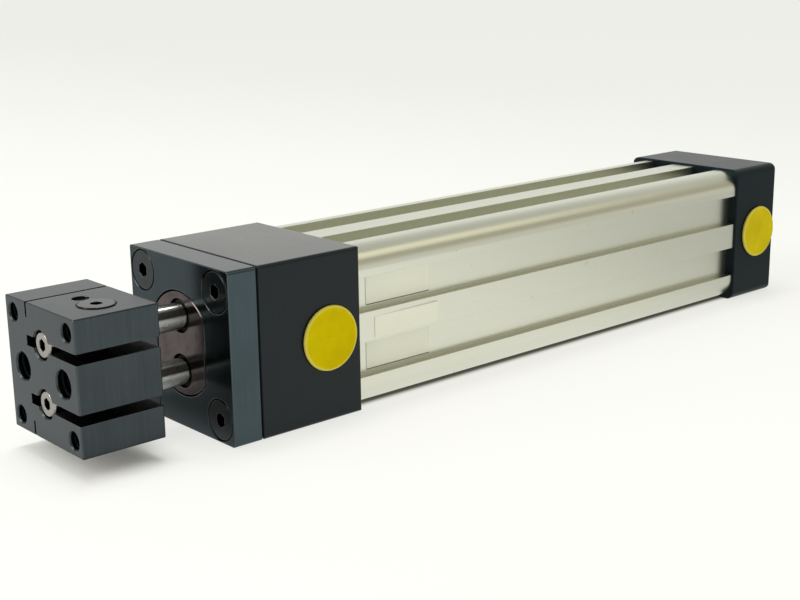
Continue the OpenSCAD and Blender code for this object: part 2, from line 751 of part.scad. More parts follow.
front_plate();
front_head();
rod_gland();
gland_o_ring();
rod_wipers();
rod_seals();
rod_bushings();
front_bumper();
front_barrel_o_ring();
barrel_tube();
rear_barrel_o_ring();
rear_bumper();
rear_cap();
plate_screws();
cap_screws();
piston();
piston_seals();
piston_wear_band();
rod_nuts();
upper_rod();
lower_rod();
tooling_block();
clamp_screws();
rod_set_screws();
front_port_plug();
rear_port_plug();
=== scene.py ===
"""Looks of a twin-rod, non-rotating air cylinder with a split tooling block.

The frame's own metres are used throughout: +X along the stroke towards the tooling
block, +Y out of the ports, +Z up. MM turns the sizes below, in millimetres, to metres.
"""
import json
import math

import bmesh
import bpy
from mathutils import Euler, Matrix, Vector


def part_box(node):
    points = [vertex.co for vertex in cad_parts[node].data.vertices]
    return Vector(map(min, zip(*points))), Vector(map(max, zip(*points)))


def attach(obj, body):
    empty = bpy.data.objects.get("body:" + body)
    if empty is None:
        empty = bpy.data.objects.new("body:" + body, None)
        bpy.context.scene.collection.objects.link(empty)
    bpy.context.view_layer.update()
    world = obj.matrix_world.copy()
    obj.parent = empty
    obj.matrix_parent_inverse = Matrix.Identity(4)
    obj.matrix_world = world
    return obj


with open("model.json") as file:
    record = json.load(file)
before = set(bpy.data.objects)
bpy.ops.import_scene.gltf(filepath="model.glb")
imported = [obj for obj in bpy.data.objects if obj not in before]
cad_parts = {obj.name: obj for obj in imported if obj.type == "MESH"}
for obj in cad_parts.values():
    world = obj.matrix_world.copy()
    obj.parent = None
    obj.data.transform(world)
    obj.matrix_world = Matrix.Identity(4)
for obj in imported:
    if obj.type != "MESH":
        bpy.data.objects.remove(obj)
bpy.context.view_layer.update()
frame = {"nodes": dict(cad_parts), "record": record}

nodes = frame["nodes"]
MM = 0.001

# Places taken from the frame
PLATE_LOW, PLATE_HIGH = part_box("front_plate")
TUBE_LOW, TUBE_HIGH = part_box("barrel_tube")
BLOCK_LOW, BLOCK_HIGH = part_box("tooling_block")
PLUG_LOW, PLUG_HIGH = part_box("front_port_plug")
SET_LOW, SET_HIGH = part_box("rod_set_screws")
ROD_LOW, ROD_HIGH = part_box("upper_rod")
MOUNTS = {mount["name"]: mount for mount in frame["record"]["mounts"]}
PORTS = ("front_port", "rear_port")
PORT_X = [MOUNTS[name]["pos_m"][0] for name in PORTS]
PLUG_R = (PLUG_HIGH.x - PLUG_LOW.x) / 2
ROD_Z = (ROD_LOW.z + ROD_HIGH.z) / 2

# Sizes that the frame doesn't give as a box
ROD_R = 3.97 * MM
SOCKET_R = 2.3 * MM         # from a rod's axis to its socket's corners
GLAND_FLAT = 12.1 * MM      # from the axis to the gland's two flats
GROOVE_DEPTH = 3.0 * MM     # from the barrel's ribs down to its groove floors


# ------------------------------------------------------------------ shader helpers

class Value:
    """A number's socket in a node tree. Arithmetic on it adds Math nodes."""

    def __init__(self, tree, socket):
        self.tree = tree
        self.socket = socket

    def math(self, operation, *others):
        node = self.tree.nodes.new("ShaderNodeMath")
        node.operation = operation
        for place, item in enumerate((self, *others)):
            if isinstance(item, Value):
                self.tree.links.new(item.socket, node.inputs[place])
            else:
                node.inputs[place].default_value = item
        return Value(self.tree, node.outputs[0])

    def __add__(self, other):
        return self.math("ADD", other)

    def __mul__(self, other):
        return self.math("MULTIPLY", other)

    def __sub__(self, other):
        return self.math("SUBTRACT", other)

    def __rsub__(self, other):
        return (self * -1) + other

    __radd__ = __add__
    __rmul__ = __mul__

    def __pow__(self, other):
        return self.math("POWER", other)

    def clamped(self, low=0.0, high=1.0):
        return self.math("MAXIMUM", low).math("MINIMUM", high)

    def step(self, low, high):
        """0 below low, 1 above high, smooth between."""
        t = ((self - low) * (1 / (high - low))).clamped()
        return t * t * (3 - 2 * t)


class Shader:
    """Nodes of one material or world."""

    def __init__(self, tree):
        self.tree = tree

    def node(self, kind, settings=None, **inputs):
        """One node: its settings first, then its sockets."""
        node = self.tree.nodes.new("ShaderNode" + kind)
        for key, value in (settings or {}).items():
            if key == "stops":
                self.set_stops(node.color_ramp, value)
            else:
                setattr(node, key, value)
        for key, value in inputs.items():
            self.feed(node, key, value)
        return node

    def feed(self, node, key, value):
        """Set or link a socket, named with _ for a space, or i and its number."""
        place = int(key[1:]) if key[0] == "i" and key[1:].isdigit() else key.replace("_", " ")
        socket = node.inputs[place]
        if isinstance(value, Value):
            self.tree.links.new(value.socket, socket)
        elif isinstance(value, bpy.types.NodeSocket):
            self.tree.links.new(value, socket)
        else:
            socket.default_value = value

    @staticmethod
    def set_stops(ramp, stops):
        while len(ramp.elements) < len(stops):
            ramp.elements.new(0.5)
        for element, (place, colour) in zip(ramp.elements, stops):
            element.position = place
            element.color = (*colour, 1)

    def value(self, socket):
        return Value(self.tree, socket)

    def blend(self, factor, first, second):
        """Colour between two colours."""
        return self.node("Mix", {"data_type": "RGBA"}, i0=factor, i6=first, i7=second).outputs[2]

    def split(self, socket):
        """The X, Y and Z of a vector."""
        parts = self.node("SeparateXYZ", Vector=socket)
        return [self.value(part) for part in parts.outputs]


class Finish(Shader):
    """A Principled material that reads Object coordinates."""

    def __init__(self, name, **constants):
        self.material = bpy.data.materials.new(name)
        self.material.use_nodes = True
        super().__init__(self.material.node_tree)
        self.bsdf = self.tree.nodes["Principled BSDF"]
        for key, value in constants.items():
            self.feed(self.bsdf, key, value)
        self.place = self.node("TexCoord").outputs["Object"]
        self.geometry = self.node("NewGeometry")

    def noise(self, scale, detail=2.0, roughness=0.5, offset=(0, 0, 0)):
        """Noise between 0 and 1, with a scale per metre along each axis."""
        mapped = self.node("Mapping", Vector=self.place, Scale=scale, Location=offset)
        texture = self.node(
            "TexNoise", Vector=mapped.outputs[0], Scale=1.0, Detail=detail, Roughness=roughness,
        )
        return self.value(texture.outputs[0])

    def faces(self):
        """How much the surface faces along X, Y and Z, each 0 to 1."""
        return [part.math("ABSOLUTE") for part in self.split(self.geometry.outputs["True Normal"])]

    def depth_inside(self, low, high):
        """How deep a point lies inside a box, in metres."""
        depth = None
        for part, least, most in zip(self.split(self.place), low, high):
            near = (part - least).math("MINIMUM", most - part)
            depth = near if depth is None else depth.math("MINIMUM", near)
        return depth

    def edges(self, radius):
        """Rounded normal within radius of an edge, and a mask of the edges."""
        rounded = self.node("Bevel", {"samples": 4}, Radius=radius).outputs[0]
        flat = self.geometry.outputs["Normal"]
        dot = self.node("VectorMath", {"operation": "DOT_PRODUCT"}, i0=rounded, i1=flat)
        return rounded, (1 - self.value(dot.outputs["Value"])).step(0.01, 0.25)

    def bump(self, height, distance, normal, strength):
        """Normal with a relief of a height from 0 to 1, times a distance in metres."""
        node = self.node("Bump", Strength=strength, Distance=distance, Height=height)
        if normal is not None:
            self.feed(node, "Normal", normal)
        return node.outputs[0]

    def set(self, **inputs):
        for key, value in inputs.items():
            self.feed(self.bsdf, key, value)
        return self.material


# ------------------------------------------------------------------ finishes

# Black for painted shade in holes, slots and gaps.
PAINTED_SHADE_BLACK = (0.003, 0.004, 0.005, 1)


def brushed_black(name, dark, light, gloss, edge_light, painted_end_face_tone, box=None, **constants):
    """Blackened metal with a fine grain up its sides and across its top.

    The faces towards the stroke's ends lean to a colour given for them: painted light or
    painted shade for how these faces are lit. Where a box is given, the holes and slots
    inside it are duller and blacker than its outer faces, with painted shade.
    """
    finish = Finish(name, IOR=1.5, Sheen_Roughness=0.25, **constants)
    upright = finish.noise((2600, 2600, 45), detail=3, roughness=0.6)
    across = finish.noise((2600, 60, 2600), detail=3, roughness=0.6)
    facing_x, _, facing_z = finish.faces()
    facing_up = facing_z.step(0.4, 0.8)
    grain = upright * (1 - facing_up) + across * facing_up
    cloud = finish.noise((60, 60, 60), detail=4, roughness=0.55, offset=(3, 1, 7))
    speck = finish.noise((900, 900, 900), detail=1, offset=(5, 2, 1)).step(0.74, 0.8)
    rounded, edge = finish.edges(0.35 * MM)
    tone = (grain * 0.8 + cloud * 0.5 - 0.15).clamped()
    body = finish.blend(tone, dark, light)
    # Painted light or shade: faces along X lean to a tone for how they are lit.
    end_face_painted = finish.blend(facing_x.step(0.6, 0.9) * 0.4, body, painted_end_face_tone)
    worn = finish.blend((edge * 0.55 + speck * 0.12).clamped(), end_face_painted, edge_light)
    roughness = gloss + (grain - 0.5) * 0.16 + (cloud - 0.5) * 0.1 - edge * 0.05
    if box:
        # Painted shade: holes and slots deep inside the box turn black.
        hole_shade = finish.depth_inside(*box).step(0.3 * MM, 1.2 * MM)
        worn = finish.blend(hole_shade * 0.9, worn, PAINTED_SHADE_BLACK)
        roughness = roughness + hole_shade * 0.25
    return finish.set(
        Base_Color=worn,
        Roughness=roughness.clamped(0.12, 0.9),
        Normal=finish.bump(grain, 0.02 * MM, rounded, 0.5),
    )


def extruded_aluminium():
    """Clear anodised extrusion: satin, with faint die lines along X."""
    finish = Finish("clear_anodised", Metallic=1.0)
    lines = finish.noise((6, 1500, 1500), detail=3, roughness=0.6)
    broad = finish.noise((3, 160, 160), detail=2, offset=(2, 5, 1))
    cloud = finish.noise((35, 35, 35), detail=4, roughness=0.6, offset=(9, 4, 2))
    mark = finish.noise((420, 420, 420), detail=2, roughness=0.4, offset=(1, 7, 3)).step(0.73, 0.79)
    rounded, edge = finish.edges(0.25 * MM)
    tone = (lines * 0.35 + broad * 0.35 + cloud * 0.3).clamped()
    body = finish.blend(tone, (0.595, 0.605, 0.51, 1), (0.68, 0.695, 0.595, 1))
    marked = finish.blend(mark * 0.25, body, (0.30, 0.28, 0.22, 1))
    return finish.set(
        Base_Color=finish.blend(edge * 0.4, marked, (0.82, 0.82, 0.74, 1)),
        Roughness=(0.30 + (lines - 0.5) * 0.12 + (cloud - 0.5) * 0.08).clamped(0.15, 0.6),
        Normal=finish.bump(lines * 0.6 + broad * 0.4, 0.012 * MM, rounded, 0.5),
    )


GRIND_PITCH = 0.02 * MM     # between two grinding rings
GRIND_LEAN = 0.32           # how far the rings lean the normal
SAWN_L = 9 * MM             # the rod's length with its sawn end's colour
SAWN_FADE = 3 * MM
PAINTED_BAND_FOOT = (0.18, 0.30)    # the painted dark reflection band's lower and upper fade, in rod radii
PAINTED_BAND_HEAD = (0.66, 0.80)


def chromed():
    """Ground and hard-chromed steel: fine grinding rings lean the normal along the rod.

    A painted dark reflection band runs along the rod above its middle.
    The sawn ends in the block are duller and greyer, with painted shade in the socket.
    """
    finish = Finish("chrome_rod", Metallic=1.0)
    x, y, z = finish.split(finish.place)
    rings = (x * (1 / GRIND_PITCH)).math("FRACT") * 2 - 1
    streak = finish.noise((60, 500, 500), detail=3, offset=(4, 4, 1))
    rounded, edge = finish.edges(0.15 * MM)
    lean = finish.node("CombineXYZ", X=rings * GRIND_LEAN)
    leaning = finish.node("VectorMath", {"operation": "ADD"}, i0=rounded, i1=lean.outputs[0])
    normal = finish.node("VectorMath", {"operation": "NORMALIZE"}, i0=leaning.outputs[0])
    end = finish.faces()[0].step(0.8, 0.95)
    off_axis = (y * y + (z.math("ABSOLUTE") - ROD_Z) ** 2) ** 0.5
    below_face = 1 - x.step(ROD_HIGH.x - 0.5 * MM, ROD_HIGH.x - 0.2 * MM)
    in_block = x.step(BLOCK_LOW.x, BLOCK_LOW.x + 1 * MM)
    # Painted shade: the socket's inside is coloured near black.
    socket = (1 - off_axis.step(SOCKET_R, SOCKET_R + 0.2 * MM)) * (below_face * in_block)
    height = (z - z.math("SIGN") * ROD_Z) * (1 / ROD_R)
    # Painted reflection: a dark band along each rod's upper side.
    band = height.step(*PAINTED_BAND_FOOT) * (1 - height.step(*PAINTED_BAND_HEAD)) * (1 - end)
    sawn = end.math("MAXIMUM", x.step(ROD_HIGH.x - SAWN_L, ROD_HIGH.x - SAWN_L + SAWN_FADE))
    ground = finish.blend(streak, (0.56, 0.57, 0.55, 1), (0.70, 0.71, 0.69, 1))
    reflection_painted = finish.blend(band * 0.85, ground, (0.03, 0.028, 0.026, 1))
    ended = finish.blend(sawn, reflection_painted, (0.33, 0.32, 0.295, 1))
    return finish.set(
        Base_Color=finish.blend(socket * 0.92, ended, (0.020, 0.014, 0.015, 1)),
        Roughness=(0.11 + streak * 0.05 + edge * 0.05 + end * 0.25).clamped(0.05, 0.5),
        Normal=normal.outputs[0],
    )


def faced_bronze():
    """Bronze faced in a lathe: rings about the axis, dark patches, and flats blacked with painted shade."""
    finish = Finish("bronze", Metallic=1.0)
    _, y, z = finish.split(finish.place)
    radius = (y * y + z * z) ** 0.5
    wobble = finish.noise((120, 120, 120), detail=2, offset=(2, 2, 2))
    rings = (radius * 9000 + wobble * 3).math("SINE") * 0.5 + 0.5
    cloud = finish.noise((150, 150, 150), detail=5, roughness=0.65, offset=(6, 3, 8))
    stain = finish.noise((420, 420, 420), detail=2, offset=(1, 4, 9)).step(0.62, 0.76)
    rounded, edge = finish.edges(0.2 * MM)
    tone = (rings * 0.2 + cloud * 1.5 - 0.35 - stain * 0.5).clamped()
    body = finish.blend(tone, (0.024, 0.019, 0.019, 1), (0.108, 0.086, 0.086, 1))
    worn = finish.blend(edge * 0.3, body, (0.75, 0.66, 0.56, 1))
    # Painted shade: the flats and the face's edge beside them, in the gap to the plate, are black.
    flat = y.math("ABSOLUTE").step(GLAND_FLAT - 0.30 * MM, GLAND_FLAT - 0.10 * MM)
    return finish.set(
        Base_Color=finish.blend(flat * 0.95, worn, PAINTED_SHADE_BLACK),
        Roughness=(0.10 + (cloud - 0.5) * 0.2).clamped(0.14, 0.8),
        Normal=finish.bump(rings, 0.006 * MM, rounded, 0.5),
    )


def turned_black_steel():
    """Black-oxided screws: fine turning marks and lighter rims."""
    finish = Finish("black_steel", Metallic=1.0)
    fine = finish.noise((1400, 1400, 1400), detail=3, roughness=0.6)
    cloud = finish.noise((250, 250, 250), detail=3, offset=(1, 8, 2))
    rounded, edge = finish.edges(0.3 * MM)
    tone = (fine * 0.4 + cloud * 0.7).clamped()
    body = finish.blend(tone, (0.012, 0.016, 0.018, 1), (0.034, 0.042, 0.045, 1))
    return finish.set(
        Base_Color=finish.blend(edge * 0.3, body, (0.30, 0.31, 0.30, 1)),
        Roughness=(0.19 + (fine - 0.5) * 0.06 + (cloud - 0.5) * 0.06).clamped(0.12, 0.7),
        Normal=finish.bump(fine, 0.004 * MM, rounded, 0.4),
    )


def moulded_rubber():
    """Dull black rubber with a fine mould texture."""
    finish = Finish("seal_rubber", Specular_IOR_Level=0.35)
    fine = finish.noise((1800, 1800, 1800), detail=3)
    cloud = finish.noise((300, 300, 300), detail=2, offset=(3, 9, 1))
    return finish.set(
        Base_Color=finish.blend(cloud, (0.010, 0.010, 0.010, 1), (0.030, 0.029, 0.028, 1)),
        Roughness=(0.5 + fine * 0.25).clamped(),
        Normal=finish.bump(fine, 0.02 * MM, None, 0.4),
    )


def moulded_yellow():
    """Soft polyethylene: a waxy, clouded yellow, with a painted highlight round its rim and along its
    edges.
    """
    finish = Finish(
        "yellow_plastic", IOR=1.5, Specular_IOR_Level=0.08, Specular_Tint=(1.0, 0.85, 0.0, 1),
        Subsurface_Weight=0.08, Subsurface_Radius=(0.8, 0.5, 0.1), Subsurface_Scale=0.6 * MM,
    )
    fine = finish.noise((1300, 1300, 1300), detail=3, roughness=0.6)
    cloud = finish.noise((130, 130, 130), detail=3, offset=(2, 6, 4))
    speck = finish.noise((700, 700, 700), detail=2, offset=(8, 1, 5)).step(0.72, 0.8)
    rounded, edge = finish.edges(0.3 * MM)
    x, _, z = finish.split(finish.place)
    from_front, from_rear = [(x - port).math("ABSOLUTE") for port in PORT_X]
    along = from_front.math("MINIMUM", from_rear)
    rim_highlight = ((along * along + z * z) ** 0.5).step(PLUG_R - 0.9 * MM, PLUG_R - 0.5 * MM)
    tone = (fine * 0.4 + cloud * 1.6 - 0.5).clamped()
    body = finish.blend(tone, (0.60, 0.46, 0.0, 1), (0.74, 0.62, 0.0, 1))
    dusty = finish.blend(speck * 0.2, body, (0.36, 0.28, 0.0, 1))
    # Painted highlight: paler along the edges and round each plug's rim.
    return finish.set(
        Base_Color=finish.blend((edge * 0.5 + rim_highlight * 0.45).clamped(), dusty, (0.80, 0.74, 0.24, 1)),
        Roughness=(0.42 + (fine - 0.5) * 0.2).clamped(),
        Normal=finish.bump(fine * 0.6 + cloud * 0.4, 0.03 * MM, rounded, 0.35),
    )


def sticker_paper(low, high, line, foot_share, head_share):
    """Blank label stock, with thin plain lines along its foot, its head and its near end."""
    finish = Finish("label_stock", Specular_IOR_Level=0.4)
    fibre = finish.noise((1500, 1500, 1500), detail=4, roughness=0.6)
    cloud = finish.noise((180, 180, 180), detail=3, offset=(5, 5, 2))
    x, _, z = finish.split(finish.place)
    foot = 1 - z.step(low.z + 0.24 * MM, low.z + 0.42 * MM)
    head = z.step(high.z - 0.26 * MM, high.z - 0.10 * MM)
    end = x.step(high.x - 0.22 * MM, high.x - 0.10 * MM)
    tone = (fibre * 0.5 + cloud * 0.5).clamped()
    body = finish.blend(tone, (0.87, 0.89, 0.76, 1), (0.95, 0.97, 0.86, 1))
    lined = (foot * foot_share + head * head_share + end * 0.35).clamped()
    return finish.set(
        Base_Color=finish.blend(lined, body, line),
        Roughness=(0.45 + (fibre - 0.5) * 0.2).clamped(),
        Normal=finish.bump(fibre * 0.3 + cloud * 0.7, 0.03 * MM, None, 0.4),
    )


BLACK_ANODISED = brushed_black(
    "black_anodised", dark=(0.001, 0.005, 0.007, 1), light=(0.004, 0.012, 0.015, 1), gloss=0.32,
    edge_light=(0.06, 0.07, 0.08, 1), painted_end_face_tone=(0.002, 0.006, 0.008, 1),
    Specular_IOR_Level=0.22, Sheen_Weight=0.95,
)
# A shaded copy of the black anodising for the rear cap: less gloss and sheen, so that it reads as dark as
# the front head.
REAR_SHADED_ANODISED = brushed_black(
    "rear_shaded_anodised", dark=(0.001, 0.007, 0.010, 1), light=(0.002, 0.013, 0.017, 1), gloss=0.36,
    edge_light=(0.05, 0.06, 0.07, 1), painted_end_face_tone=(0.002, 0.007, 0.010, 1),
    Specular_IOR_Level=0.12, Sheen_Weight=0.15,
)
# The plate's end faces carry painted shade: a near-black tone.
PLATE_OXIDE = brushed_black(
    "plate_oxide", dark=(0.034, 0.049, 0.056, 1), light=(0.068, 0.091, 0.101, 1), gloss=0.16,
    edge_light=(0.26, 0.27, 0.26, 1), painted_end_face_tone=(0.0, 0.004, 0.006, 1), box=(PLATE_LOW, PLATE_HIGH),
    Metallic=1.0, Specular_Tint=(0.90, 0.89, 0.89, 1),
)
# The block's end faces carry painted light: a lighter tone.
BLOCK_OXIDE = brushed_black(
    "block_oxide", dark=(0.026, 0.033, 0.036, 1), light=(0.064, 0.077, 0.082, 1), gloss=0.22,
    edge_light=(0.26, 0.27, 0.26, 1), painted_end_face_tone=(0.10, 0.115, 0.118, 1), box=(BLOCK_LOW, BLOCK_HIGH),
    Metallic=1.0, Specular_Tint=(0.86, 0.86, 0.87, 1),
)
ALUMINIUM = extruded_aluminium()
CHROME = chromed()
BRONZE = faced_bronze()
BLACK_STEEL = turned_black_steel()
RUBBER = moulded_rubber()
YELLOW = moulded_yellow()

NODE_FINISH = {
    BLACK_ANODISED: ["front_head"],
    REAR_SHADED_ANODISED: ["rear_cap"],
    PLATE_OXIDE: ["front_plate"],
    BLOCK_OXIDE: ["tooling_block"],
    ALUMINIUM: ["barrel_tube", "piston"],
    CHROME: ["upper_rod", "lower_rod"],
    BRONZE: ["rod_gland", "rod_bushings", "piston_wear_band"],
    BLACK_STEEL: ["plate_screws", "cap_screws", "clamp_screws", "rod_set_screws", "rod_nuts"],
    RUBBER: [
        "gland_o_ring", "rod_wipers", "rod_seals", "front_bumper", "front_barrel_o_ring",
        "rear_barrel_o_ring", "rear_bumper", "piston_seals",
    ],
    YELLOW: ["front_port_plug", "rear_port_plug"],
}
for finish, names in NODE_FINISH.items():
    for name in names:
        nodes[name].data.materials.clear()
        nodes[name].data.materials.append(finish)


# ------------------------------------------------------------------ mesh helpers

SMOOTH_ANGLE = math.radians(40)


def piece(name, mesh, finish, body):
    """A finished mesh as a piece that rides on a body."""
    data = bpy.data.meshes.new(name)
    bmesh.ops.recalc_face_normals(mesh, faces=mesh.faces)
    mesh.to_mesh(data)
    mesh.free()
    data.materials.append(finish)
    data.shade_smooth()
    data.set_sharp_from_angle(angle=SMOOTH_ANGLE)
    made = bpy.data.objects.new(name, data)
    bpy.context.scene.collection.objects.link(made)
    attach(made, body)


def turn_to(axis):
    """Rotation that takes +Z to an axis."""
    return Vector((0, 0, 1)).rotation_difference(Vector(axis)).to_matrix().to_4x4()


# ------------------------------------------------------------------ threads

THREAD_STEPS = 28           # in each turn
THREAD_EMBED = 0.06 * MM    # how far the ridge's root is let into the wall
RIDGE_HEIGHT = 0.22         # this and the next two are shares of the pitch
RIDGE_ROOT = 0.42           # half the ridge's width at its root
RIDGE_CREST = 0.10          # half its width at its crest
BOLT_SKIP = 0.4 * MM        # depth at which a bolt hole's thread starts
SET_SKIP = 0.1 * MM         # and a set screw hole's


def internal_thread(name, body, mouth, axis, radius, length, pitch, slot, finish):
    """A helical ridge on the wall of a tapped hole, from its mouth inwards."""
    root_r = radius + THREAD_EMBED
    crest_r = radius - RIDGE_HEIGHT * pitch
    root = RIDGE_ROOT * pitch
    crest = RIDGE_CREST * pitch
    turns = length / pitch
    steps = round(turns * THREAD_STEPS)
    mesh = bmesh.new()
    corners = [(root_r, 0, -root), (crest_r, 0, -crest), (crest_r, 0, crest), (root_r, 0, root)]
    profile = mesh.faces.new([mesh.verts.new(corner) for corner in corners])
    bmesh.ops.spin(
        mesh, geom=[profile], cent=(0, 0, 0), axis=(0, 0, 1), dvec=(0, 0, -length / steps),
        angle=turns * math.tau, steps=steps, use_merge=False, use_duplicate=False,
    )
    bmesh.ops.translate(mesh, vec=(0, 0, -root), verts=mesh.verts)
    bmesh.ops.transform(mesh, matrix=Matrix.Translation(mouth) @ turn_to(axis), verts=mesh.verts)
    piece(name, mesh, finish, body)


def pattern_holes(mount, first, second):
    """Centres of a bolt pattern's holes, with its rows along two unit vectors."""
    centre = Vector(mount["pos_m"])
    across = mount["dims"]["spacing_x_mm"] * MM / 2
    up = mount["dims"].get("spacing_y_mm", 0) * MM / 2
    return [
        centre + Vector(first) * across * side + Vector(second) * up * row
        for side in (-1, 1) for row in ((-1, 1) if up else (0,))
    ]


QUARTER_PITCH = 1.27 * MM
LARGE_PITCH = 1.5875 * MM
PORT_PITCH = 1.411 * MM
SET_PITCH = 0.8 * MM
SET_R = (SET_HIGH.y - SET_LOW.y) / 2 + 0.05 * MM

OXIDE_THREAD = ("black_oxide", BLOCK_OXIDE)
ANODISED_THREAD = ("black_anodised", BLACK_ANODISED)

BOLT_THREADS = [
    # name, mount, body, the pattern's two directions, length, pitch, slot and finish
    ("tool_thread", "tool_bolts", "rods", (0, 1, 0), (0, 0, 1), 14.5 * MM, QUARTER_PITCH, OXIDE_THREAD),
    ("web_thread", "web_bolts", "rods", (0, 1, 0), (0, 0, 1), 8.3 * MM, LARGE_PITCH, OXIDE_THREAD),
    ("foot_thread", "foot_bolts", "barrel", (1, 0, 0), (0, 1, 0), 8.2 * MM, QUARTER_PITCH, ANODISED_THREAD),
]
for name, mount_name, body, first, second, length, pitch, looks in BOLT_THREADS:
    mount = MOUNTS[mount_name]
    axis = Vector(mount["axis"])
    for count, centre in enumerate(pattern_holes(mount, first, second), start=1):
        internal_thread(
            f"{name}_{count}", body, centre - axis * BOLT_SKIP, axis,
            mount["dims"]["hole_r_mm"] * MM, length, pitch, *looks,
        )
for name in PORTS:
    mount = MOUNTS[name]
    axis = Vector(mount["axis"])
    length = mount["dims"]["length_mm"] * MM
    internal_thread(
        f"{name}_thread", "barrel", Vector(mount["pos_m"]) + axis * length / 2, axis,
        mount["dims"]["r_mm"] * MM, length - PORT_PITCH, PORT_PITCH, *ANODISED_THREAD,
    )
for name, side in (("upper_set_thread", 1), ("lower_set_thread", -1)):
    mouth = (SET_LOW + SET_HIGH) / 2
    mouth.z = side * (BLOCK_HIGH.z - SET_SKIP)
    internal_thread(
        name, "rods", mouth, (0, 0, side), SET_R,
        BLOCK_HIGH.z - SET_HIGH.z - SET_PITCH, SET_PITCH, *OXIDE_THREAD,
    )


# ------------------------------------------------------------------ blank stickers

STICKER_L = 26.0 * MM
STICKER_T = 0.09 * MM
STICKER_R = 0.5 * MM


def sticker(name, gap, face_y, low_z, height, tilt, line, foot_share, head_share):
    """A thin sheet with round corners on a face towards +Y, a gap behind the front head."""
    mesh = bmesh.new()
    bmesh.ops.create_grid(mesh, x_segments=1, y_segments=1, size=0.5)
    bmesh.ops.scale(mesh, vec=(STICKER_L, height, 1), verts=mesh.verts)
    bmesh.ops.bevel(
        mesh, geom=list(mesh.verts), offset=STICKER_R, offset_type="OFFSET", segments=4,
        profile=0.5, affect="VERTICES", material=-1,
    )
    bmesh.ops.solidify(mesh, geom=list(mesh.faces), thickness=STICKER_T)
    low = min(vert.co.z for vert in mesh.verts)
    bmesh.ops.translate(mesh, vec=(0, 0, -low), verts=mesh.verts)
    upright = Euler((math.radians(90), 0, math.radians(180))).to_matrix().to_4x4()
    centre = Vector((TUBE_HIGH.x - gap - STICKER_L / 2, face_y, low_z + height / 2))
    lean = Matrix.Rotation(math.radians(tilt), 4, "Y")
    bmesh.ops.transform(mesh, matrix=Matrix.Translation(centre) @ lean @ upright, verts=mesh.verts)
    low_corner = centre - Vector((STICKER_L, 0, height)) / 2
    high_corner = low_corner + Vector((STICKER_L, 0, height))
    finish = sticker_paper(low_corner, high_corner, line, foot_share, head_share)
    piece(name, mesh, finish, "barrel")


RIB_FACE = TUBE_HIGH.y
GROOVE_FLOOR = RIB_FACE - GROOVE_DEPTH
DARK_GREEN = (0.02, 0.06, 0.045, 1)
DARK_GREY = (0.12, 0.12, 0.10, 1)
for row in (
    ("upper_sticker", 5.3 * MM, GROOVE_FLOOR, 5.8 * MM, 8.8 * MM, 0.0, DARK_GREEN, 0.9, 0.0),
    ("middle_sticker", 6.2 * MM, RIB_FACE, -3.7 * MM, 6.6 * MM, 1.2, DARK_GREY, 0.0, 0.4),
    ("lower_sticker", 5.1 * MM, GROOVE_FLOOR, -14.4 * MM, 8.8 * MM, 0.0, DARK_GREEN, 0.9, 0.0),
):
    sticker(*row)


# ------------------------------------------------------------------ stage, light and camera

FLOOR_R = 6.0
PAPER = (0.90, 0.90, 0.86, 1)
CONTACT_SHADOW = (0.05, 0.045, 0.04, 1)    # painted contact shadow: the dark line where the barrel almost meets the paper


